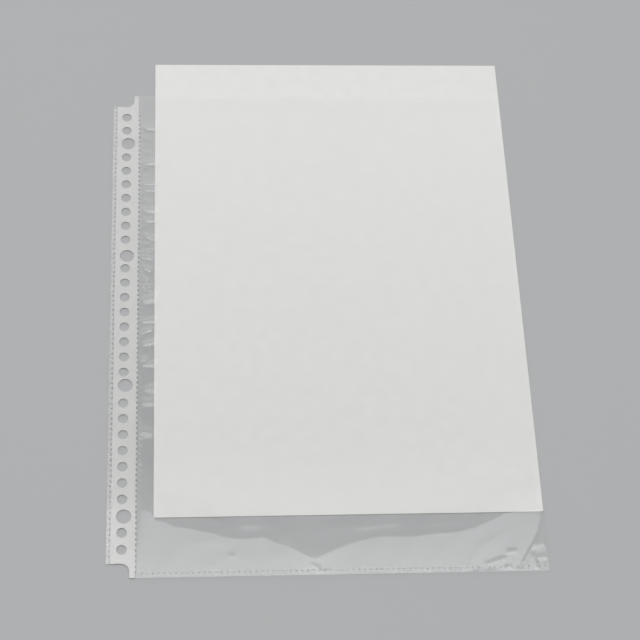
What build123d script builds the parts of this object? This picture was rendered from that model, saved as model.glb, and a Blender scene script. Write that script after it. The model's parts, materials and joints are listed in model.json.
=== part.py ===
from build123d import *
from math import floor
import os

# A clear film pocket for an A4 sheet, with a white punched strip along its binding edge.
# The origin is the middle of the ring-hole line, on the back face that the pocket lies on.
# X runs from the strip across the pocket, Y up towards the open mouth, Z out of the front.
# All sizes are in millimetres.

# The inserted sheet, A4, and how far it stands out of the mouth
sheet_width = 210.0
sheet_height = 297.0
sheet_thickness = 0.10
sheet_proud = 23.6

# The film, and the room it leaves around the sheet
film_thickness = 0.06
sheet_clearance = 0.12
fold_clearance = 0.10
gutter_width = 8.4
height_slack = 10.0

# The white strip, placed by the distance from the ring-hole line to its outer edge
strip_width = 12.75
hole_line_inset = 5.7

# The cut-back corners at both ends of the binding edge
notch_depth = 8.0
notch_land = 2.75
notch_fillet = 4.5

# Small ring holes, and the wide holes that take either ring spacing
ring_pitch = 9.5
ring_hole_d = 5.5
ring_end_land = 5.5
wide_hole_d = 8.0
wide_hole_offset = 1.0
wide_hole_inner_y = 41.4
wide_hole_outer_y = 119.0
least_land = 0.8

# Welds: a knurled band outside the strip, and rows of spots inside it and along the bottom
edge_weld_width = 2.35
side_weld_gap = 0.10
side_spot_width = 0.80
side_spot_length = 1.40
side_spot_pitch = 3.08
side_weld_margin = 0.20
bottom_spot_d = 1.0
bottom_spot_pitch = 3.02
bottom_weld_inset = 2.6
weld_end_land = 1.5
side_weld_top_land = 13.0

# The strip of film that flexes when the page turns, left open between the two halves
hinge_gap = 0.30

# Heights through the stack of leaves
leaf_gap = sheet_thickness + 2 * sheet_clearance
front_leaf_z = film_thickness + leaf_gap
stack_thickness = leaf_gap + 2 * film_thickness

# Places across the sleeve
strip_left = -hole_line_inset
strip_right = strip_left + strip_width
band_left = strip_left - edge_weld_width
notch_x = strip_right - notch_land
side_spot_x = strip_right + side_weld_gap + side_spot_width / 2
margin_right = side_spot_x + side_spot_width / 2 + side_weld_margin
pocket_left = margin_right + hinge_gap
sheet_left = pocket_left + gutter_width
fold_x = sheet_left + sheet_width + fold_clearance

# Places along the sleeve
mouth_y = (sheet_height + height_slack) / 2
notch_y = mouth_y - notch_depth
sheet_top = mouth_y + sheet_proud


def leaf(outline, back_z, thickness):
    """Raise a flat outline into a leaf with its back face at the given height."""
    return Pos(0, 0, back_z) * extrude(outline, thickness)


def box_between(left, right, bottom, top):
    """Draw a flat rectangle from its four sides."""
    centre = Pos((left + right) / 2, (bottom + top) / 2)
    return centre * Rectangle(right - left, top - bottom)


def evenly_spaced(start, end, pitch):
    """List places one pitch apart, centred between two limits."""
    steps = floor((end - start) / pitch)
    first = (start + end - steps * pitch) / 2
    return [first + pitch * i for i in range(steps + 1)]


def ring_holes():
    """Draw every ring hole: the wide ones, and a small one wherever they leave room."""
    wide_places = [
        side * y for y in (wide_hole_inner_y, wide_hole_outer_y) for side in (-1, 1)
    ]
    reach = (wide_hole_d + ring_hole_d) / 2 + least_land
    end = notch_y - ring_end_land
    small_places = [
        y
        for y in evenly_spaced(-end, end, ring_pitch)
        if all(abs(y - wide) > reach for wide in wide_places)
    ]
    wide = [Pos(wide_hole_offset, y) * Circle(wide_hole_d / 2) for y in wide_places]
    small = [Pos(0, y) * Circle(ring_hole_d / 2) for y in small_places]
    return wide + small


def binding_outline(left, right):
    """Draw a layer of the binding edge: punched, with both outer corners cut back."""
    outline = box_between(left, right, -mouth_y, mouth_y)
    outline -= box_between(left, notch_x, notch_y, mouth_y)
    outline -= box_between(left, notch_x, -mouth_y, -notch_y)
    inner_corners = [
        v
        for v in outline.vertices()
        if abs(v.X - notch_x) < 1e-6 and abs(abs(v.Y) - notch_y) < 1e-6
    ]
    radius = min(notch_fillet, 0.9 * notch_depth, 0.9 * (notch_x - left))
    return fillet(inner_corners, radius) - ring_holes()


def side_spot_places():
    """List where the side weld's spots sit along the strip, from the bottom up."""
    return evenly_spaced(
        -mouth_y + weld_end_land, mouth_y - side_weld_top_land, side_spot_pitch
    )


def strip_teeth():
    """Draw the round teeth that the side weld squeezes out of the strip between its spots."""
    radius = (side_spot_pitch - side_spot_length) / 2 - side_weld_gap
    return [
        Pos(strip_right, y + side_spot_pitch / 2) * Circle(radius)
        for y in side_spot_places()[:-1]
    ]


def binding_strip():
    """Make the opaque strip that lies between the leaves and carries the ring holes."""
    outline = binding_outline(strip_left, strip_right) + strip_teeth()
    return leaf(outline, film_thickness, leaf_gap)


def margin_film(back_z):
    """Make the film of one leaf over the binding edge, punched together with the strip."""
    return leaf(binding_outline(band_left, margin_right), back_z, film_thickness)


def edge_weld_band():
    """Make the fused band that closes the leaves along the outer edge of the strip."""
    band = box_between(band_left, strip_left, -notch_y, notch_y)
    return leaf(band, film_thickness, leaf_gap)


def side_weld_spots():
    """Make the row of fused spots that close the leaves along the inner edge of the strip."""
    outline = SlotOverall(side_spot_length, side_spot_width, rotation=90)
    spot = leaf(outline, film_thickness, leaf_gap)
    return [Pos(side_spot_x, y) * spot for y in side_spot_places()]


def bottom_weld_spots():
    """Make the row of fused spots that close the bottom of the pocket."""
    row_y = -mouth_y + bottom_weld_inset
    spot = leaf(Circle(bottom_spot_d / 2), film_thickness, leaf_gap)
    return [
        Pos(x, row_y) * spot
        for x in evenly_spaced(
            pocket_left + weld_end_land, fold_x - weld_end_land, bottom_spot_pitch
        )
    ]


def pocket_film(back_z):
    """Make the film of one leaf over the pocket, from the flexing line to the fold."""
    outline = box_between(pocket_left, fold_x, -mouth_y, mouth_y)
    return leaf(outline, back_z, film_thickness)


def folded_edge():
    """Make the pressed fold that joins the two leaves: flat inside and round outside."""
    radius = stack_thickness / 2
    disc = Plane.XZ * (Pos(fold_x, radius) * Circle(radius))
    inner_half = Plane.XZ * (Pos(fold_x - radius, radius) * Rectangle(2 * radius, 2 * radius))
    return extrude(disc - inner_half, mouth_y, both=True)


def insert_sheet():
    """Make the paper sheet, lying clear of both leaves and standing out of the mouth."""
    outline = box_between(
        sheet_left, sheet_left + sheet_width, sheet_top - sheet_height, sheet_top
    )
    return leaf(outline, film_thickness + sheet_clearance, sheet_thickness)


pieces = {
    "binding_strip": binding_strip(),
    "back_margin_film": margin_film(0),
    "front_margin_film": margin_film(front_leaf_z),
    "edge_weld_band": edge_weld_band(),
    "side_weld_spots": Compound(side_weld_spots()),
    "pocket_back_film": pocket_film(0),
    "pocket_front_film": pocket_film(front_leaf_z),
    "folded_edge": folded_edge(),
    "bottom_weld_spots": Compound(bottom_weld_spots()),
    "insert_sheet": insert_sheet(),
}

os.makedirs("parts", exist_ok=True)
for name, piece in pieces.items():
    export_step(piece, f"parts/{name}.step")
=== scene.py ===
"""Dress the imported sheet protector: punched strip, welds, loose film leaves and the sheet of paper.

Sizes are in millimetres and turn to metres where a mesh is placed. X runs from the strip across the
pocket, Y up towards the open mouth and Z out of the front, as in the frame.
"""

import json
import logging
import math
from collections.abc import Callable
from dataclasses import dataclass
from enum import Enum
from typing import Any

import bpy
import numpy as np
from bpy.types import Light, Material, MeshPolygon, Node, NodeSocket, NodeTree, Object, World
from mathutils import Matrix, Vector

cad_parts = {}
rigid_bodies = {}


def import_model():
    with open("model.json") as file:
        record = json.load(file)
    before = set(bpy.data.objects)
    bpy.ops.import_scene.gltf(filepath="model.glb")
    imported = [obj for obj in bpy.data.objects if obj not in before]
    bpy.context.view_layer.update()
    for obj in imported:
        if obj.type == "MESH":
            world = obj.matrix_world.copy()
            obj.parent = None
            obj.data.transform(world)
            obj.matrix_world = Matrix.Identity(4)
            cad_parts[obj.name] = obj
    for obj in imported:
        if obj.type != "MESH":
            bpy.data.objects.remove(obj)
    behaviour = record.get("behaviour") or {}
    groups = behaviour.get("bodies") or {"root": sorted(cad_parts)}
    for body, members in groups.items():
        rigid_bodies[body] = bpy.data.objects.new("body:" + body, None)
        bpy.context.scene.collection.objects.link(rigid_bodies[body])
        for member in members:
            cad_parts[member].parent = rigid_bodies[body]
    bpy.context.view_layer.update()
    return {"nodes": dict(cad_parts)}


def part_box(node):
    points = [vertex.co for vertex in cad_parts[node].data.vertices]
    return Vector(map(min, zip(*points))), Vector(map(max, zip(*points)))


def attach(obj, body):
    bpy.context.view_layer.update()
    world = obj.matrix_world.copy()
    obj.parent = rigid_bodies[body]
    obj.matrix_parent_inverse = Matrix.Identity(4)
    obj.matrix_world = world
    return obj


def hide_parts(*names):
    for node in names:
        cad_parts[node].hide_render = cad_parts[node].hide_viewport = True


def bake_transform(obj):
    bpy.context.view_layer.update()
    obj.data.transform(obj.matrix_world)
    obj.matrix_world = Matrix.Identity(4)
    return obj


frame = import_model()

LOG = logging.getLogger("sheet_protector")
MM = 0.001
SMOOTH_ANGLE = math.radians(40)
SEED = 7
PRESSED = "pressed"
POLYPROPYLENE_IOR = 1.49

# Faces that would meet are kept a hair apart, and points closer than the second gap count as one
HAIR = 0.012
SAME_POINT = 0.001

# A bell-shaped ridge stands this much of its width high for each unit of its steepest slope
CREST = math.sqrt(math.e / 2)

# How far a ridge runs on past its ends, and how far in it has its full height, as shares of its length
RUN_OUT = 0.15
FULL_FROM = 0.25

# A pleat's half width and the rounding of its crest and feet, as shares of its width
PLEAT_REACH = 1.4
PLEAT_ROUND = 0.2

Point = tuple[float, float]
Place = tuple[float, float, float]
Array = np.ndarray


class Body(Enum):
    """The bodies that the pieces ride on."""

    BINDING_EDGE = "binding_edge"
    POCKET = "pocket"
    INSERT = "insert"


class Slot(Enum):
    """The record's material slots."""

    CLEAR_FILM = "clear_film"
    WELDED_FILM = "welded_film"
    WHITE_STRIP = "white_strip"
    PAPER = "paper"


def linear(hex_colour: str) -> tuple[float, float, float, float]:
    """Turn an sRGB hex value into linear colour.

    Args:
        hex_colour: Six hex digits after a hash sign.

    Returns:
        Red, green and blue from 0 to 1, with an alpha of 1.
    """
    parts = [int(hex_colour[i : i + 2], 16) / 255 for i in (1, 3, 5)]
    red, green, blue = (
        c / 12.92 if c <= 0.04045 else ((c + 0.055) / 1.055) ** 2.4 for c in parts
    )
    return red, green, blue, 1.0


def per_metre(size_mm: float) -> float:
    """Give the texture scale whose pattern repeats at a size in millimetres."""
    return 1 / (size_mm * MM)


def smooth(value: Array, start: float, end: float) -> Array:
    """Rise gently from 0 at one place to 1 at another.

    Args:
        value: Where along the way each point is.
        start: The place where the rise begins.
        end: The place where it is complete, before or after start.

    Returns:
        The share of the rise at each point.
    """
    t = np.clip((value - start) / (end - start), 0, 1)
    return t * t * (3 - 2 * t)


def add_node(tree: NodeTree, kind: str, inputs: dict[Any, Any] | None = None, **settings: Any) -> Node:
    """Add a shader node with its settings, values and links.

    Args:
        tree: The tree that takes the node.
        kind: The node's type name.
        inputs: A value for each named or numbered input, or a socket or a node's first output to link.
        settings: The node's own properties.

    Returns:
        The new node.
    """
    node = tree.nodes.new(kind)
    for name, value in settings.items():
        setattr(node, name, value)
    for key, value in (inputs or {}).items():
        if isinstance(value, Node):
            value = value.outputs[0]
        if isinstance(value, NodeSocket):
            tree.links.new(value, node.inputs[key])
        else:
            node.inputs[key].default_value = value
    return node


def empty_tree(owner: Material | World | Light) -> NodeTree:
    """Give a material, world or lamp a bare node tree.

    Args:
        owner: The material, world or lamp.

    Returns:
        Its tree, with no nodes in it.
    """
    owner.use_nodes = True
    owner.node_tree.nodes.clear()
    return owner.node_tree


def deselect_all() -> None:
    """Leave nothing selected, so that an operator acts on the new piece alone."""
    for other in bpy.context.scene.objects:
        other.select_set(False)


def take_up(piece: Object) -> None:
    """Make a piece the only one selected, and the active one.

    Args:
        piece: The piece that the next operators act on.
    """
    deselect_all()
    piece.select_set(True)
    bpy.context.view_layer.objects.active = piece


def pick_faces(piece: Object, wanted: Callable[[MeshPolygon], bool]) -> None:
    """Go into edit mode with only some of a piece's faces selected.

    Args:
        piece: The active piece.
        wanted: Says of each face whether it is selected.
    """
    bpy.ops.object.mode_set(mode="EDIT")
    bpy.ops.mesh.select_all(action="DESELECT")
    bpy.ops.object.mode_set(mode="OBJECT")
    for face in piece.data.polygons:
        face.select = wanted(face)
    bpy.ops.object.mode_set(mode="EDIT")


def points_of(piece: Object) -> Array:
    """Read where a piece's points are.

    Args:
        piece: The piece.

    Returns:
        A row for each point, in millimetres.
    """
    flat = np.empty(len(piece.data.vertices) * 3, np.float32)
    piece.data.vertices.foreach_get("co", flat)
    return flat.reshape(-1, 3).astype(float) / MM


def move_points(piece: Object, points: Array) -> None:
    """Put a piece's points at places given in millimetres."""
    piece.data.vertices.foreach_set("co", (points * MM).astype(np.float32).ravel())
    piece.data.update()


def node_box(node: str) -> tuple[Vector, Vector]:
    """Give a node's lowest and highest corners in millimetres."""
    low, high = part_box(node)
    return low / MM, high / MM


def flat_grid(name: str, columns: Array, rows: Array) -> Object:
    """Add a flat grid whose lines lie at chosen places.

    Args:
        name: The piece's name.
        columns: Where the lines across X lie, in millimetres.
        rows: Where the lines across Y lie, in millimetres.

    Returns:
        The grid, at height 0.
    """
    deselect_all()
    across, along = len(columns) - 1, len(rows) - 1
    bpy.ops.mesh.primitive_grid_add(x_subdivisions=across, y_subdivisions=along, size=1)
    piece = bpy.context.active_object
    piece.name = piece.data.name = name
    points = points_of(piece) * MM
    column = np.rint((points[:, 0] + 0.5) * across).astype(int)
    row = np.rint((points[:, 1] + 0.5) * along).astype(int)
    move_points(piece, np.c_[columns[column], rows[row], np.zeros(len(points))])
    return piece


def graded(stations: tuple[float, ...], counts: tuple[int, ...]) -> Array:
    """Divide a length into stretches of even steps.

    Args:
        stations: The places where one stretch ends and the next begins.
        counts: How many steps each stretch has.

    Returns:
        Every place, ends included.
    """
    steps = np.arange(sum(counts) + 1)
    return np.interp(steps, np.cumsum([0, *counts]), stations)


def even_steps(low: float, high: float, step: float) -> Array:
    """List places from one limit to the other, as near to one step apart as they go."""
    return np.linspace(low, high, round((high - low) / step) + 1)


def thicken(piece: Object, thickness: float) -> None:
    """Give a surface its thickness, half to each side, and smooth its shading.

    Args:
        piece: An open surface.
        thickness: The sheet's thickness in millimetres.
    """
    take_up(piece)
    wall = piece.modifiers.new("thickness", "SOLIDIFY")
    wall.thickness = thickness * MM
    wall.offset = 0
    bpy.ops.object.modifier_apply(modifier=wall.name)
    bpy.ops.object.shade_smooth_by_angle(angle=SMOOTH_ANGLE)


def dress(piece: Object, finish: Material) -> None:
    """Give a piece its one finish and report it.

    Args:
        piece: The piece, new or from the frame.
        finish: The material that covers it.
    """
    piece.data.materials.clear()
    piece.data.materials.append(finish)
    LOG.info("%s: %d faces, %s", piece.name, len(piece.data.polygons), finish.name)


@dataclass(frozen=True)
class CastFilm:
    """Clear polypropylene film, cast on a polished roller."""

    name: str = "clear_cast_polypropylene_film"
    see_through: str = "#FFFFFF"
    shine: str = "#F6F6F6"
    head_on_gloss: float = 0.034
    mirror_share: float = 0.85
    roughness: float = 0.08
    grazing_power: float = 5.0
    ripple_mm: float = 4.0
    ripple_height_mm: float = 0.003

    def build(self) -> Material:
        """Make the film: it shows what is behind it, and mirrors lamps by its angle to the eye.

        Returns:
            The material.
        """
        material = bpy.data.materials.new(self.name)
        tree = empty_tree(material)
        place = add_node(tree, "ShaderNodeTexCoord").outputs["Object"]
        # Cast film is never quite flat: a faint ripple breaks up the edges of a lamp's mirror image
        ripple = add_node(
            tree,
            "ShaderNodeTexNoise",
            {"Vector": place, "Scale": per_metre(self.ripple_mm), "Detail": 1.0},
        )
        relief = add_node(tree, "ShaderNodeBump", {"Height": ripple, "Distance": self.ripple_height_mm * MM})
        angle = add_node(tree, "ShaderNodeLayerWeight", {"Normal": relief}).outputs["Facing"]
        grazing = add_node(tree, "ShaderNodeMath", {0: angle, 1: self.grazing_power}, operation="POWER")
        gloss = add_node(
            tree,
            "ShaderNodeMath",
            {0: grazing, 1: 1 - self.head_on_gloss, 2: self.head_on_gloss},
            operation="MULTIPLY_ADD",
        )
        clear = add_node(tree, "ShaderNodeBsdfTransparent", {"Color": linear(self.see_through)})
        surface = add_node(
            tree,
            "ShaderNodeBsdfPrincipled",
            {
                "Base Color": linear(self.shine),
                "Metallic": self.mirror_share,
                "Roughness": self.roughness,
                "Normal": relief,
            },
        )
        mixed = add_node(tree, "ShaderNodeMixShader", {0: gloss, 1: clear, 2: surface})
        add_node(tree, "ShaderNodeOutputMaterial", {"Surface": mixed})
        return material


@dataclass(frozen=True)
class FusedFilm:
    """Film melted together under a knurled tool: greyer, duller and less clear than the leaves."""

    name: str = "fused_knurled_polypropylene"
    see_through: str = "#FAFAFA"
    dull: str = "#F0F0F0"
    solid_share: float = 0.42
    roughness: float = 0.32
    mottle_mm: float = 0.9
    mottle_share: float = 0.6
    cleared_share: float = 0.85
    grit_mm: float = 0.35
    grit_height_mm: float = 0.012

    def build(self) -> Material:
        """Make the weld: cloudy, with an uneven share of solid grey.

        Returns:
            The material.
        """
        material = bpy.data.materials.new(self.name)
        tree = empty_tree(material)
        place = add_node(tree, "ShaderNodeTexCoord").outputs["Object"]
        mottle, grit = (
            add_node(tree, "ShaderNodeTexNoise", {"Vector": place, "Scale": per_metre(mm), "Detail": detail})
            for mm, detail in ((self.mottle_mm, 2.0), (self.grit_mm, 1.0))
        )
        # The heat was uneven, so the cloudiness changes from one tooth mark to the next
        cloudy = add_node(
            tree,
            "ShaderNodeMath",
            {0: mottle, 1: self.mottle_share, 2: self.solid_share - self.mottle_share / 2},
            operation="MULTIPLY_ADD",
        )
        # Where the tool pressed hardest the film melted clear again
        pressed = add_node(tree, "ShaderNodeAttribute", attribute_name=PRESSED)
        hazy = add_node(
            tree,
            "ShaderNodeMath",
            {0: pressed.outputs["Fac"], 1: -self.cleared_share, 2: 1.0},
            operation="MULTIPLY_ADD",
        )
        cloud = add_node(tree, "ShaderNodeMath", {0: cloudy, 1: hazy}, operation="MULTIPLY")
        relief = add_node(tree, "ShaderNodeBump", {"Height": grit, "Distance": self.grit_height_mm * MM})
        clear = add_node(tree, "ShaderNodeBsdfTransparent", {"Color": linear(self.see_through)})
        surface = add_node(
            tree,
            "ShaderNodeBsdfPrincipled",
            {
                "Base Color": linear(self.dull),
                "Roughness": self.roughness,
                "IOR": POLYPROPYLENE_IOR,
                "Normal": relief,
            },
        )
        mixed = add_node(tree, "ShaderNodeMixShader", {0: cloud, 1: clear, 2: surface})
        add_node(tree, "ShaderNodeOutputMaterial", {"Surface": mixed})
        return material


# Both rows of spots were pressed without a knurl, so they are clearer than the band
SIDE_WELD = FusedFilm(
    name="pressed_polypropylene_weld",
    see_through="#FCFCFC",
    solid_share=0.3,
    mottle_share=0.3,
)
BOTTOM_WELD = FusedFilm(
    name="pinched_polypropylene_weld",
    see_through="#FCFCFC",
    dull="#E4E4E4",
    solid_share=0.18,
    mottle_share=0.3,
)


@dataclass(frozen=True)
class CloudySheet:
    """An opaque white sheet, with soft clouds in its colour and a fine grain on its faces."""

    name: str
    light: str
    shade: str
    roughness: float
    cloud_mm: float
    cloud_detail: float
    grain_mm: float
    grain_detail: float
    grain_height_mm: float
    ior: float = 1.5
    gloss: float = 0.5

    def build(self) -> Material:
        """Make the sheet's finish.

        Returns:
            The material.
        """
        material = bpy.data.materials.new(self.name)
        tree = empty_tree(material)
        place = add_node(tree, "ShaderNodeTexCoord").outputs["Object"]
        sizes = ((self.cloud_mm, self.cloud_detail), (self.grain_mm, self.grain_detail))
        cloud, grain = (
            add_node(tree, "ShaderNodeTexNoise", {"Vector": place, "Scale": per_metre(mm), "Detail": detail})
            for mm, detail in sizes
        )
        colour = add_node(
            tree,
            "ShaderNodeMix",
            {"Factor": cloud, 6: linear(self.shade), 7: linear(self.light)},
            data_type="RGBA",
        )
        relief = add_node(tree, "ShaderNodeBump", {"Height": grain, "Distance": self.grain_height_mm * MM})
        surface = add_node(
            tree,
            "ShaderNodeBsdfPrincipled",
            {
                "Base Color": colour.outputs[2],
                "Roughness": self.roughness,
                "IOR": self.ior,
                "Specular IOR Level": self.gloss,
                "Normal": relief,
            },
        )
        add_node(tree, "ShaderNodeOutputMaterial", {"Surface": surface})
        return material


# Extruded sheet has faint clouds and a satin shine; its grain is drawn coarser than real to show
STRIP_PLASTIC = CloudySheet(
    name="white_extruded_polypropylene",
    light="#D3D3D2",
    shade="#CACAC9",
    roughness=0.42,
    cloud_mm=14.0,
    cloud_detail=3.0,
    grain_mm=0.45,
    grain_detail=2.0,
    grain_height_mm=0.004,
    ior=POLYPROPYLENE_IOR,
)

# Pulp settles in soft clouds and dries matt; its fibres are drawn wider than real to show at all
OFFICE_PAPER = CloudySheet(
    name="uncoated_white_office_paper",
    light="#E8E8E6",
    shade="#E0E0DE",
    roughness=0.88,
    cloud_mm=7.0,
    cloud_detail=4.0,
    grain_mm=0.6,
    grain_detail=3.0,
    grain_height_mm=0.01,
    gloss=0.3,
)


@dataclass(frozen=True)
class FloorPaint:
    """Plain pale matt floor."""

    name: str = "pale_matt_floor"
    colour: str = "#B3B4B5"
    roughness: float = 0.9
    gloss: float = 0.1

    def build(self) -> Material:
        """Make the floor's plain finish.

        Returns:
            The material.
        """
        material = bpy.data.materials.new(self.name)
        tree = empty_tree(material)
        surface = add_node(
            tree,
            "ShaderNodeBsdfPrincipled",
            {
                "Base Color": linear(self.colour),
                "Roughness": self.roughness,
                "Specular IOR Level": self.gloss,
            },
        )
        add_node(tree, "ShaderNodeOutputMaterial", {"Surface": surface})
        return material


@dataclass(frozen=True)
class Finishes:
    """Every material of the part, made once."""

    film: Material
    weld: Material
    spot: Material
    dot: Material
    strip: Material
    paper: Material


@dataclass(frozen=True)
class Crease:
    """A ridge in the film: where it runs, how steep its sides are and how wide it is."""

    start: Point
    end: Point
    tilt: float
    width: float
    flare: float = 1.0

    def lift(self, x: Array, y: Array) -> Array:
        """Say how far the ridge lifts the film.

        Args:
            x: The points' places across the sleeve.
            y: Their places along it.

        Returns:
            The lift at each point.
        """
        (x0, y0), (x1, y1) = self.start, self.end
        dx, dy = x1 - x0, y1 - y0
        length = math.hypot(dx, dy)
        along = ((x - x0) * dx + (y - y0) * dy) / length**2
        across = ((y - y0) * dx - (x - x0) * dy) / length
        width = self.width * (1 + (self.flare - 1) * np.clip(along, 0, 1))
        ends = smooth(along, -RUN_OUT, FULL_FROM) * smooth(along, 1 + RUN_OUT, 1 - FULL_FROM)
        return self.tilt * width * ends * self.profile(across / width)

    def profile(self, share: Array) -> Array:
        """Say how the ridge falls off to its sides, by shares of its width: as a rounded hump."""
        return CREST * np.exp(-(share**2))


@dataclass(frozen=True)
class Pleat(Crease):
    """A ridge with straight sides, which mirrors a lamp as one even patch."""

    def profile(self, share: Array) -> Array:
        """Say how the ridge falls off to its sides: straight, with a rounded crest and feet."""
        side = PLEAT_REACH - np.hypot(share, PLEAT_ROUND)
        return (side + np.hypot(side, PLEAT_ROUND)) / 2


@dataclass(frozen=True)
class WeldSpot:
    """A weld spot with a dimple in both faces: its size, its lowest and highest level, and the dimples."""

    width: float
    length: float
    levels: Point
    rim: float
    dimple: float
    sides: int = 16
    upright: float = 0.9

    def build_row(self, name: str, places: list[Point]) -> Object:
        """Model one spot and copy it along a row.

        Args:
            name: The row's name.
            places: The middle of each spot.

        Returns:
            The row as one piece.
        """
        spot = self.build()
        copies = []
        for x, y in places:
            copy = bpy.data.objects.new(name, spot.data.copy())
            bpy.context.scene.collection.objects.link(copy)
            copy.data.transform(Matrix.Translation((x * MM, y * MM, 0)))
            copies.append(copy)
        bpy.data.objects.remove(spot)
        deselect_all()
        for copy in copies:
            copy.select_set(True)
        bpy.context.view_layer.objects.active = copies[0]
        bpy.ops.object.join()
        row = bpy.context.active_object
        row.name = row.data.name = name
        bpy.ops.object.shade_smooth_by_angle(angle=SMOOTH_ANGLE)
        return row

    def build(self) -> Object:
        """Model one spot over the origin: a short cylinder, drawn out along Y and dimpled.

        Returns:
            The spot.
        """
        deselect_all()
        bottom, top = self.levels
        bpy.ops.mesh.primitive_cylinder_add(
            vertices=self.sides,
            radius=self.width / 2 * MM,
            depth=(top - bottom) * MM,
            location=(0, 0, (top + bottom) / 2 * MM),
        )
        spot = bpy.context.active_object
        bpy.ops.object.transform_apply(location=True, rotation=False, scale=False)
        points = points_of(spot)
        points[:, 1] += np.sign(points[:, 1].round(6)) * (self.length - self.width) / 2
        move_points(spot, points)
        pick_faces(spot, lambda face: abs(face.normal.z) > self.upright)
        bpy.ops.mesh.inset(thickness=self.rim * MM, depth=-self.dimple * MM, use_individual=True)
        bpy.ops.object.mode_set(mode="OBJECT")
        return spot


@dataclass
class BindingEdge:
    """The punched strip with its two margins of film and the welds on both sides of it."""

    finishes: Finishes
    inner_row_inset: float = 0.62
    inner_dot_pitch: float = 3.08
    inner_dot_radius: float = 0.6
    inner_dot_depth: float = 0.1
    outer_row_inset: float = 0.75
    outer_rib_pitch: float = 2.1
    outer_rib_radius: float = 0.45
    outer_rib_height: float = 0.05
    band_cell: float = 0.26
    spot_aspect: float = 1.75
    spot_rim: float = 0.14
    spot_dimple: float = 0.07
    spot_pitch: float = 3.08

    def build(self) -> None:
        """Dress the strip and its margins, and model the welds."""
        dress(frame["nodes"]["binding_strip"], self.finishes.strip)
        self.build_margin("front_margin_leaf", "front_margin_film", -1)
        self.build_margin("back_margin_leaf", "back_margin_film", 1)
        self.build_edge_band()
        self.build_side_welds()

    def build_margin(self, name: str, node: str, inner_side: int) -> None:
        """Model the film over one face of the strip, a hair clear of it so that the faces don't meet.

        Args:
            name: The piece's name.
            node: The node that it stands for.
            inner_side: 1 where the strip is above this film, -1 where it is below.
        """
        low, high = node_box(node)
        margin = bpy.data.objects.new(name, frame["nodes"][node].data.copy())
        bpy.context.scene.collection.objects.link(margin)
        take_up(margin)
        bpy.ops.mesh.customdata_custom_splitnormals_clear()
        bpy.ops.object.mode_set(mode="EDIT")
        bpy.ops.mesh.select_all(action="SELECT")
        bpy.ops.mesh.remove_doubles(threshold=SAME_POINT * MM)
        bpy.ops.object.mode_set(mode="OBJECT")
        points = points_of(margin)
        side = (points[:, 2] - (low.z + high.z) / 2) * inner_side
        points[side > 0, 2] -= HAIR * inner_side
        move_points(margin, points)
        bpy.ops.object.shade_smooth_by_angle(angle=SMOOTH_ANGLE)
        dress(margin, self.finishes.film)
        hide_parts(node)
        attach(margin, Body.BINDING_EDGE.value)

    def build_edge_band(self) -> None:
        """Model the knurled band: a row of pressed dots beside the strip and ribs outside them."""
        low, high = node_box("edge_weld_band")
        columns = even_steps(low.x, high.x, self.band_cell)
        rows = even_steps(low.y, high.y, self.band_cell)
        band = flat_grid("knurled_edge_band", columns, rows)
        points = points_of(band)
        x, y = points[:, 0], points[:, 1]
        thickness = high.z - low.z - 2 * self.outer_rib_height
        dot_y = (y + self.inner_dot_pitch / 2) % self.inner_dot_pitch - self.inner_dot_pitch / 2
        rib_y = (y + self.outer_rib_pitch / 2) % self.outer_rib_pitch - self.outer_rib_pitch / 2
        dots = np.hypot(x - high.x + self.inner_row_inset, dot_y) / self.inner_dot_radius
        ribs = np.hypot(x - low.x - self.outer_row_inset, rib_y) / self.outer_rib_radius
        relief = self.outer_rib_height * np.exp(-(ribs**2)) - self.inner_dot_depth * np.exp(-(dots**2))
        points[:, 2] = (low.z + high.z) / 2 + relief
        move_points(band, points)
        marks = band.data.attributes.new(PRESSED, "FLOAT", "POINT")
        marks.data.foreach_set("value", np.exp(-(dots**4)).astype(np.float32))
        thicken(band, thickness)
        dress(band, self.finishes.weld)
        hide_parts("edge_weld_band")
        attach(band, Body.BINDING_EDGE.value)

    def build_side_welds(self) -> None:
        """Model the row of long spots at the strip's inner edge."""
        low, high = node_box("side_weld_spots")
        width = high.x - low.x
        length = self.spot_aspect * width
        steps = even_steps(low.y + length / 2, high.y - length / 2, self.spot_pitch)
        places = [((low.x + high.x) / 2, y) for y in steps]
        levels = (low.z + HAIR, high.z - HAIR)
        spot = WeldSpot(width, length, levels, self.spot_rim, self.spot_dimple)
        row = spot.build_row("side_weld_row", places)
        dress(row, self.finishes.spot)
        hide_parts("side_weld_spots")
        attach(row, Body.BINDING_EDGE.value)


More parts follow.
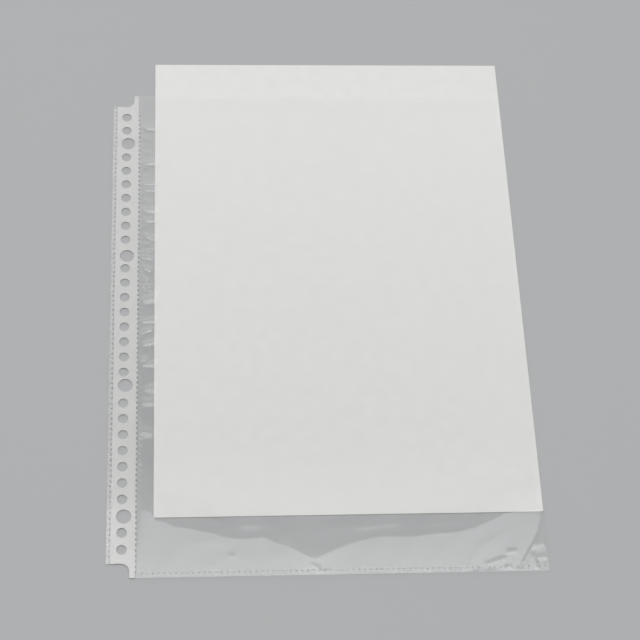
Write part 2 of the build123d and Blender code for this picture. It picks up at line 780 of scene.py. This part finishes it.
@dataclass
class FilmPocket:
    """The two loose leaves of film over the pocket, their fold and the weld along the bottom."""

    finishes: Finishes
    film_thickness: float = 0.06

    # Where the gutter, the loose bottom, the sheet, the film and the bend beside the strip end
    gutter_end: float = 17.5
    bottom_band: float = -116.0
    sheet_end: float = -119.9
    hem: float = -153.5
    turn_end: float = 9.1

    # The leaves' cells: steps in each stretch across and along, and cuts where the film is creased
    wide_cells: Point = (30.0, 200.0)
    front_columns: tuple[int, ...] = (5, 5, 34, 12, 8)
    front_rows: tuple[int, ...] = (15, 90)
    back_columns: tuple[int, ...] = (14, 8, 57, 14)
    back_rows: tuple[int, ...] = (36, 180)
    gutter_cuts: int = 5
    bottom_cuts: int = 4

    # The loose film below the sheet: its rise from the hem and its fall behind the brow
    hem_slope: float = 0.0145
    hem_curve: float = 0.000315
    hem_share: float = 0.3
    hem_height: float = 3.0
    least_fall: float = 0.016
    least_reach: float = 20.0
    shelf: float = 0.06

    # The rise at the mouth, the fade at the gutter's end, and the room that a turned page leaves
    mouth_lift: float = 0.1
    mouth_rise: Point = (141.0, 153.5)
    gutter_fade: Point = (1.5, 0.7)
    turn_room: float = 0.22
    least_room: float = 0.001

    # The back leaf's creases: their share of the front's height, how far they lag and where they fade
    back_share: float = 0.25
    back_lag: float = 1.6
    back_fade: float = 2.0

    # The bottom weld's spots
    spot_rim: float = 0.16
    spot_dimple: float = 0.03
    spot_stand: float = 0.2
    spot_pitch: float = 3.02

    # Faint creases scattered along the gutter: the least and the most of each measure
    faint_count: int = 36
    faint_room: float = 3.5
    faint_x: Point = (9.0, 12.5)
    faint_low: float = 15.0
    faint_reach: Point = (2.5, 5.0)
    faint_slant: Point = (-0.6, 0.35)
    faint_tilt: Point = (0.06, 0.16)
    faint_width: Point = (0.7, 1.2)

    # Puckers at the side weld
    pucker_pitch: float = 3.08
    pucker_tilt: float = 0.24
    pucker_share: Point = (0.3, 1.0)
    pucker_reach: Point = (1.6, 3.0)
    pucker_slant: Point = (-1.1, -0.2)
    pucker_width: float = 0.55
    pucker_start: float = 0.2
    pucker_fade: Point = (-2.0, 8.0)

    # The way down to the fold and the bottom right corner
    fold_descent: Place = (9.0, 6.5, 1.3)
    corner_edge: float = 2.0
    corner_share: float = 0.25
    corner_rise: Point = (-133.5, -139.5)

    # The slope that cuts off the bottom right corner: how high up, where it begins and how wide it is
    corner_slope: tuple[Place, ...] = (
        (-153.5, 208, 1.6), (-150, 210.2, 2.2), (-145, 213.3, 2.8), (-140, 216.2, 3.2),
        (-135, 219.8, 3.6), (-130, 222.8, 3.2), (-125, 225, 1.7), (-120, 225.9, 1.1),
        (-112, 224.6, 2.3),
    )

    # Where the loose film stops bulging away from the sheet and starts down to the bottom weld
    brow: tuple[Point, ...] = (
        (8, -115.4), (12, -115.4), (15.5, -116.8), (18, -120.8), (23, -122.6), (28, -125.2),
        (40, -127.4), (50, -130), (57, -132.2), (65, -133), (70, -132.7), (74, -131.6), (78, -133.2),
        (83, -136), (88, -137.2), (95, -141.4), (102, -145), (110, -141), (120, -136.8), (130, -134.3),
        (138, -132.5), (146, -133.1), (156, -133.2), (165, -131.8), (180, -131), (190, -128),
        (200, -123.5), (206, -120.4), (227, -118),
    )

    # Stiff little folds between the side weld and the sheet's edge, from the mouth down
    gutter_creases: tuple[Crease, ...] = (
        Pleat((10.2, 131.6), (18.6, 130.6), 0.25, 2.1),
        Crease((8.6, 123.6), (13.5, 121.3), 0.22, 0.8),
        Crease((11, 113.5), (14.5, 111.5), 0.20, 0.9),
        Pleat((9.6, 105), (18.6, 106.6), 0.25, 1.5, 1.6),
        Pleat((9.8, 91.3), (18.6, 91.3), 0.24, 1.5),
        Pleat((9.8, 86.5), (18.6, 86.7), 0.23, 1.3),
        Crease((10.6, 79.7), (15.4, 76.9), 0.20, 1.0),
        Pleat((9.4, 73.8), (18.6, 71.8), 0.23, 1.8, 1.2),
        Pleat((10.6, 65.6), (18.6, 66), 0.22, 1.7),
        Crease((10.6, 56.2), (18, 52.2), 0.22, 1.3),
        Crease((9, 43.9), (17, 45.4), 0.21, 1.0),
        Crease((8.6, 41.5), (17, 39.5), 0.21, 1.2),
        Crease((10, 34.4), (15.5, 31.5), 0.20, 1.2),
        Crease((8.6, 28.5), (13.6, 24.9), 0.20, 1.0),
        Crease((8.6, 22.9), (12.6, 19.6), 0.19, 1.0),
        Crease((11, 22.4), (15.6, 21.4), 0.19, 1.1),
        Pleat((9.8, 12.4), (18.8, 14.6), 0.17, 2.4, 1.4),
        Pleat((8.8, -1.2), (18.4, -0.2), 0.165, 1.3, 1.5),
        Crease((8.4, -8.2), (16, -5.6), 0.17, 1.1, 1.5),
        Pleat((10, -16), (18.6, -13.8), 0.15, 1.4, 1.4),
        Crease((8.6, -25.4), (13.6, -25.2), 0.16, 1.5),
        Pleat((9.6, -28.8), (18.6, -28), 0.14, 1.1, 2.0),
        Pleat((10.8, -43.6), (18.6, -43.2), 0.105, 1.4, 2.4),
        Pleat((10, -51.8), (18.2, -51.4), 0.10, 2.4),
        Pleat((8.6, -68.8), (16.6, -70.6), 0.095, 2.6, 0.9),
        Crease((10.2, -97.5), (15, -97.5), 0.06, 1.0),
        Crease((10.8, -100.1), (17.6, -103.1), 0.06, 1.1),
        Crease((8.8, -107.6), (12.4, -112.2), 0.07, 0.8),
    )

    # Soft folds that fan up from the bottom weld, and others behind the brow
    bottom_creases: tuple[Crease, ...] = (
        Crease((22.5, -151), (33, -131), 0.016, 3.4),
        Crease((34, -135.5), (57, -133), 0.014, 3.4),
        Crease((45, -150.5), (55, -142), 0.013, 2.8),
        Crease((56.4, -142.6), (59.2, -142), 0.10, 1.3),
        Crease((59.5, -139.5), (69.5, -147.5), 0.014, 2.6, 1.4),
        Crease((79, -146), (86, -140.5), 0.016, 3.2),
        Crease((99, -147.4), (102.8, -148.5), 0.10, 1.0),
        Crease((102.8, -148.5), (104.2, -153.2), 0.28, 1.2),
        Crease((107.2, -150.8), (108, -153.4), 0.26, 1.0),
        Crease((121, -153), (139, -135), 0.015, 3.0),
        Crease((141.5, -153.5), (154.5, -136.5), 0.018, 2.6, 1.3),
        Crease((160, -153.5), (174, -136.5), 0.018, 2.6, 1.3),
        Crease((181, -153.5), (195, -136), 0.020, 2.6, 1.3),
        Crease((194, -139), (209, -130), 0.010, 3.6),
        Crease((227.2, -120), (208, -155), 0.013, 9.0),
        Crease((30, -122.8), (46, -123.2), 0.036, 2.6),
        Crease((45, -126), (58, -127), 0.032, 2.8),
        Crease((61, -124.5), (76, -124), 0.046, 3.6),
        Crease((76, -124), (84, -127.5), 0.022, 3.0),
        Crease((82, -132), (90, -131), 0.026, 3.6),
        Crease((108, -129), (119, -126), 0.022, 4.0),
        Crease((122, -127), (151, -124), 0.042, 3.2),
        Crease((160, -126), (188, -123), 0.032, 3.0),
    )

    # The crumpled corner where the bottom weld meets the fold
    corner_creases: tuple[Crease, ...] = (
        Crease((218.6, -139.2), (229, -137.6), 0.05, 2.2),
        Crease((219, -143.6), (219.6, -152.5), 0.10, 1.3),
        Crease((220, -146.6), (229, -145), 0.07, 1.2),
        Crease((223.5, -150.3), (229, -149.7), 0.06, 0.8),
        Crease((204.5, -142.9), (210.4, -142.3), 0.085, 1.25),
        Crease((193, -150), (204, -146), 0.08, 1.45),
        Crease((202, -151.4), (206.8, -150.9), 0.08, 1.1),
        Crease((185.2, -153.8), (189.6, -153.5), 0.08, 1.0),
        Crease((192.5, -153.6), (198, -153.2), 0.08, 1.2),
        Crease((207.5, -153), (212.4, -152.6), 0.08, 1.0),
    )

    def build(self) -> None:
        """Model both leaves and the bottom weld, and hang the weld on its body."""
        self.build_front_leaf()
        self.build_back_leaf()
        self.build_bottom_welds()

    def build_front_leaf(self) -> None:
        """Model the front leaf with its creases, and carry it round the fold."""
        low, high = node_box("pocket_front_film")
        back_low, _ = node_box("pocket_back_film")
        _, margin_high = node_box("front_margin_film")
        left, fold = margin_high.x, high.x
        level = (low.z + high.z) / 2
        radius = (low.z - back_low.z) / 2
        stations = (left, self.gutter_end, *self.wide_cells, fold, fold + math.pi * radius)
        columns = graded(stations, self.front_columns)
        rows = graded((low.y, self.bottom_band, high.y), self.front_rows)
        leaf = flat_grid("front_film_leaf", columns, rows)
        self.divide(leaf, (left, low.y), (self.gutter_end, high.y), self.gutter_cuts)
        self.divide(leaf, (self.gutter_end, low.y), (fold, self.bottom_band), self.bottom_cuts)
        points = points_of(leaf)
        x, y = points[:, 0], points[:, 1]
        turn = np.clip((x - fold) / radius, 0, math.pi)
        relief = self.relief(np.minimum(x, fold), y, left, fold)
        points[:, 0] = np.minimum(x, fold) + radius * np.sin(turn)
        points[:, 2] = level - radius * (1 - np.cos(turn)) + relief
        move_points(leaf, points)
        self.finish_leaf(leaf)
        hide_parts("pocket_front_film", "folded_edge")

    def build_back_leaf(self) -> None:
        """Model the back leaf, which lies almost flat."""
        low, high = node_box("pocket_back_film")
        _, margin_high = node_box("back_margin_film")
        left = margin_high.x
        columns = graded((left, self.gutter_end, *self.wide_cells, high.x), self.back_columns)
        rows = graded((low.y, self.bottom_band, high.y), self.back_rows)
        leaf = flat_grid("back_film_leaf", columns, rows)
        points = points_of(leaf)
        x, y = points[:, 0], points[:, 1]
        small = self.back_share * sum(c.lift(x, y + self.back_lag) for c in self.gutter_creases)
        inner = smooth(x, left, left + self.back_fade)
        outer = smooth(x, self.gutter_end, self.gutter_end - self.back_fade)
        points[:, 2] = (low.z + high.z) / 2 + small * (inner * outer)
        move_points(leaf, points)
        self.finish_leaf(leaf)
        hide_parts("pocket_back_film")

    def finish_leaf(self, leaf: Object) -> None:
        """Give a leaf its thickness and finish.

        Args:
            leaf: The leaf's surface.
        """
        thicken(leaf, self.film_thickness)
        dress(leaf, self.finishes.film)
        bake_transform(leaf)

    def divide(self, leaf: Object, low: Point, high: Point, cuts: int) -> None:
        """Divide the cells of a region where the film shows its folds.

        Args:
            leaf: The flat leaf.
            low: The region's lower left corner.
            high: Its upper right corner.
            cuts: How many cuts each cell's sides take.
        """

        def inside(face: MeshPolygon) -> bool:
            """Say whether a face's middle lies in the region."""
            x, y, _ = face.center / MM
            return low[0] < x < high[0] and low[1] < y < high[1]

        take_up(leaf)
        pick_faces(leaf, inside)
        bpy.ops.mesh.subdivide(number_cuts=cuts)
        bpy.ops.object.mode_set(mode="OBJECT")

    def relief(self, x: Array, y: Array, left: float, fold: float) -> Array:
        """Work out how far the front leaf stands off its flat level.

        Args:
            x: The points' places across the sleeve.
            y: Their places along it.
            left: Where the leaf leaves the binding edge.
            fold: Where the fold begins.

        Returns:
            The height at each point, never below the flat level.
        """
        outer, inner = self.gutter_fade
        gutter = sum(crease.lift(x, y) for crease in self.gutter_creases + self.faint_creases())
        gutter = gutter * smooth(x, self.gutter_end + outer, self.gutter_end - inner)
        gutter = gutter + self.puckers(x, y, left)
        soft = sum(crease.lift(x, y) for crease in self.bottom_creases)
        corner = sum(crease.lift(x, y) for crease in self.corner_creases)
        mouth = self.mouth_lift * smooth(y, *self.mouth_rise)
        loosening = smooth(y, self.hem, self.hem + self.hem_height)
        above_hem = self.hem_share + (1 - self.hem_share) * loosening
        bulge = (self.bottom_bulge(x, y) + soft * above_hem + mouth) * self.corner_cut(x, y, fold)
        loose = gutter + bulge + corner * smooth(x, fold, fold - self.corner_edge)
        # The turned page lies close over the strip, so near the weld the film has little room to rise
        room = self.turn_room * np.maximum(x - left, self.least_room)
        return room * np.tanh(loose / room)

    def corner_cut(self, x: Array, y: Array, fold: float) -> Array:
        """Work out how much of the loose film's height is left towards the fold and the corner.

        Args:
            x: The points' places across the sleeve.
            y: Their places along it.
            fold: Where the fold begins.

        Returns:
            The share at each point.
        """
        slope_y, slope_x, width = np.array(self.corner_slope).T
        start = np.interp(y, slope_y, slope_x)
        past = smooth(x, start, start + np.interp(y, slope_y, width))
        beyond = self.corner_share * smooth(y, *self.corner_rise)
        descent = np.interp(y, (self.hem, self.corner_rise[1], self.sheet_end), self.fold_descent)
        return (1 - (1 - beyond) * past) * smooth(x, fold, fold - descent)

    def bottom_bulge(self, x: Array, y: Array) -> Array:
        """Work out the loose film's height below the sheet, up to the brow and down to the weld.

        Args:
            x: The points' places across the sleeve.
            y: Their places along it.

        Returns:
            The height at each point.
        """
        brow_x, brow_y = np.array(self.brow).T
        brow = np.interp(x, brow_x, brow_y)
        reach = np.maximum(self.sheet_end - brow, self.least_reach)
        rise = brow - self.hem
        hollow = self.hem_slope * rise + self.hem_curve * rise**2
        top = np.maximum(hollow, self.shelf + self.least_fall * reach)
        up = np.clip(y - self.hem, 0, rise)
        below = (self.hem_slope * up + self.hem_curve * up**2) * top / hollow
        back = np.clip((y - brow) / reach, 0, 1)
        return np.where(y < brow, below, self.shelf + (top - self.shelf) * (1 - back) ** 2)

    def faint_creases(self) -> tuple[Crease, ...]:
        """Scatter faint creases along the gutter, between the ones that show plainly.

        Returns:
            The creases.
        """
        chance = np.random.default_rng(SEED + 1)
        _, high = node_box("side_weld_spots")
        creases = []
        for _ in range(self.faint_count):
            x = chance.uniform(*self.faint_x)
            y = chance.uniform(self.faint_low, high.y)
            reach = chance.uniform(*self.faint_reach)
            slant = chance.uniform(*self.faint_slant)
            tilt = chance.uniform(*self.faint_tilt)
            width = chance.uniform(*self.faint_width)
            crease = Crease((x, y), (x + reach, y + slant * reach), tilt, width)
            if all(abs(y - plain.start[1]) > self.faint_room for plain in self.gutter_creases):
                creases.append(crease)
        return tuple(creases)

    def puckers(self, x: Array, y: Array, left: float) -> Array:
        """Work out the small slanting puckers that the side weld's spots draw into the film.

        Args:
            x: The points' places across the sleeve.
            y: Their places along it.
            left: Where the leaf leaves the binding edge.

        Returns:
            The height at each point.
        """
        chance = np.random.default_rng(SEED)
        low, high = node_box("side_weld_spots")
        total = np.zeros_like(x)
        for place in np.arange(low.y + self.pucker_pitch / 2, high.y, self.pucker_pitch):
            tilt = self.pucker_tilt * chance.uniform(*self.pucker_share)
            reach = chance.uniform(*self.pucker_reach)
            slant = chance.uniform(*self.pucker_slant)
            start, end = (left - self.pucker_start, place), (left + reach, place + slant * reach)
            total += Crease(start, end, tilt, self.pucker_width).lift(x, y)
        below, above = self.pucker_fade
        return total * smooth(y, self.bottom_band + below, self.bottom_band + above)

    def build_bottom_welds(self) -> None:
        """Model the row of round spots that closes the pocket's bottom."""
        low, high = node_box("bottom_weld_spots")
        width = high.y - low.y
        steps = even_steps(low.x + width / 2, high.x - width / 2, self.spot_pitch)
        places = [(x, (low.y + high.y) / 2) for x in steps]
        levels = (low.z + HAIR, high.z + self.spot_stand)
        spot = WeldSpot(width, width, levels, self.spot_rim, self.spot_dimple)
        row = spot.build_row("bottom_weld_row", places)
        dress(row, self.finishes.dot)
        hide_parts("bottom_weld_spots")
        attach(row, Body.POCKET.value)


@dataclass
class PaperSheet:
    """The loose A4 sheet, part way out of the mouth."""

    finishes: Finishes
    cell: float = 3.5
    wave_height: float = 0.025
    wave_length: Point = (95.0, 130.0)

    def build(self) -> None:
        """Model the sheet with the slight waves that paper takes up in a sleeve."""
        low, high = node_box("insert_sheet")
        columns = even_steps(low.x, high.x, self.cell)
        rows = even_steps(low.y, high.y, self.cell)
        sheet = flat_grid("paper_sheet", columns, rows)
        points = points_of(sheet)
        across, along = self.wave_length
        wave = np.sin(2 * math.pi * points[:, 0] / across) * np.sin(2 * math.pi * points[:, 1] / along)
        points[:, 2] = (low.z + high.z) / 2 + self.wave_height * wave
        move_points(sheet, points)
        thicken(sheet, high.z - low.z)
        dress(sheet, self.finishes.paper)
        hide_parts("insert_sheet")
        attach(sheet, Body.INSERT.value)


@dataclass(frozen=True)
class Scrim:
    """A wide soft lamp overhead, whose glow changes towards its far edge and then spills out."""

    name: str = "scrim"
    centre: Place = (-0.30, 0.46, 3.0)
    size: Point = (2.9, 1.52)
    near_glow: float = 2.8
    far_glow: float = 1.8
    spill_glow: float = 0.6
    least_glow: float = 0.15
    level_from: float = 0.566
    level_to: float = 0.776
    spill_from: float = 0.855

    def build(self) -> None:
        """Hang the lamp; an area lamp's glow is a quarter of its power for each square metre."""
        lamp = bpy.data.lights.new(self.name, "AREA")
        lamp.shape = "RECTANGLE"
        lamp.size, lamp.size_y = self.size
        lamp.energy = 4 * self.size[0] * self.size[1]
        tree = empty_tree(lamp)
        place = add_node(tree, "ShaderNodeNewGeometry")
        along = add_node(tree, "ShaderNodeSeparateXYZ", {0: place.outputs["Parametric"]})
        base = self.spill_glow
        stretches = (
            (self.level_from, self.level_to, self.near_glow - base, self.far_glow - base, "LINEAR"),
            (self.spill_from, self.level_to, 0.0, 1.0, "SMOOTHSTEP"),
            (1.0, self.spill_from, self.least_glow, base, "LINEAR"),
        )
        level, edge, spill = (
            add_node(
                tree,
                "ShaderNodeMapRange",
                {"Value": along.outputs["Y"], "From Min": a, "From Max": b, "To Min": c, "To Max": d},
                interpolation_type=way,
            )
            for a, b, c, d, way in stretches
        )
        total = add_node(tree, "ShaderNodeMath", {0: level, 1: edge, 2: spill}, operation="MULTIPLY_ADD")
        light = add_node(tree, "ShaderNodeEmission", {"Strength": total})
        add_node(tree, "ShaderNodeOutputLight", {"Surface": light})
        holder = bpy.data.objects.new(self.name, lamp)
        bpy.context.scene.collection.objects.link(holder)
        holder.location = self.centre


@dataclass
class Studio:
    """The floor, the lamps, the room's glow and the camera."""

    floor_size: float = 14.0
    floor_gap: float = 0.02
    wall_glow: float = 1.95
    ceiling_glow: float = 0.13
    wall_top_deg: float = 52.0
    ceiling_edge_deg: float = 66.0
    wall_turn: float = 0.55
    side_share: float = 0.12
    eye: Place = (39.185, -465.674, 866.374)
    aim: Place = (110.614, -1.132, 0.0)
    roll_deg: float = 7.238
    lens: float = 97.5
    sensor: float = 36.0
    clear_bounces: int = 32

    # The main lamp, and a faint one past its far left edge, which the film beside the strip mirrors
    scrims: tuple[Scrim, ...] = (
        Scrim(),
        Scrim(
            name="side_scrim",
            centre=(-1.365, 0.98, 2.99),
            size=(2.47, 0.24),
            near_glow=0.0,
            far_glow=1.5,
            spill_glow=0.0,
            least_glow=0.0,
            level_from=0.0,
            level_to=1.0,
            spill_from=1.1,
        ),
    )

    def build(self) -> None:
        """Make everything that isn't part of the object."""
        scene = bpy.context.scene
        scene.view_settings.view_transform = "Standard"
        # A look down through both leaves and their welds crosses more clear faces than the default allows
        scene.cycles.transparent_max_bounces = self.clear_bounces
        self.build_floor()
        self.build_room()
        self.build_camera()
        for scrim in self.scrims:
            scrim.build()

    def build_floor(self) -> None:
        """Lay the plain floor just under the part."""
        deselect_all()
        bpy.ops.mesh.primitive_plane_add(size=self.floor_size, location=(0, 0, -self.floor_gap * MM))
        floor = bpy.context.active_object
        floor.name = "floor"
        floor.data.materials.append(FloorPaint().build())

    def build_room(self) -> None:
        """Let the room glow softly: a pale wall behind the part, and a dim ceiling round the lamps."""
        world = bpy.data.worlds.new("soft_room")
        bpy.context.scene.world = world
        tree = empty_tree(world)
        direction = add_node(tree, "ShaderNodeTexCoord")
        heading = add_node(tree, "ShaderNodeSeparateXYZ", {0: direction.outputs["Generated"]})
        wall = add_node(
            tree,
            "ShaderNodeMapRange",
            {
                "Value": heading.outputs["Z"],
                "From Min": math.sin(math.radians(self.wall_top_deg)),
                "From Max": math.sin(math.radians(self.ceiling_edge_deg)),
                "To Min": self.wall_glow - self.ceiling_glow,
                "To Max": 0.0,
            },
        )
        behind = add_node(
            tree,
            "ShaderNodeMapRange",
            {"Value": heading.outputs["Y"], "From Max": self.wall_turn, "To Min": self.side_share},
            interpolation_type="SMOOTHSTEP",
        )
        glow = add_node(
            tree,
            "ShaderNodeMath",
            {0: wall, 1: behind, 2: self.ceiling_glow},
            operation="MULTIPLY_ADD",
        )
        light = add_node(tree, "ShaderNodeBackground", {"Strength": glow})
        add_node(tree, "ShaderNodeOutputWorld", {"Surface": light})

    def build_camera(self) -> None:
        """Set the camera where the photographer stood."""
        camera = bpy.data.cameras.new("camera")
        camera.lens = self.lens
        camera.sensor_width = self.sensor
        holder = bpy.data.objects.new("camera", camera)
        bpy.context.scene.collection.objects.link(holder)
        look = Vector(self.aim) - Vector(self.eye)
        roll = Matrix.Rotation(math.radians(self.roll_deg), 3, "Z")
        turned = look.to_track_quat("-Z", "Y").to_matrix() @ roll
        holder.matrix_world = Matrix.Translation(Vector(self.eye) * MM) @ turned.to_4x4()
        bpy.context.scene.camera = holder


def main() -> None:
    """Build the dressed part and its studio."""
    logging.basicConfig(level=logging.INFO)
    finishes = Finishes(
        film=CastFilm().build(),
        weld=FusedFilm().build(),
        spot=SIDE_WELD.build(),
        dot=BOTTOM_WELD.build(),
        strip=STRIP_PLASTIC.build(),
        paper=OFFICE_PAPER.build(),
    )
    for assembly in (BindingEdge(finishes), FilmPocket(finishes), PaperSheet(finishes), Studio()):
        assembly.build()


if __name__ == "__main__":
    main()
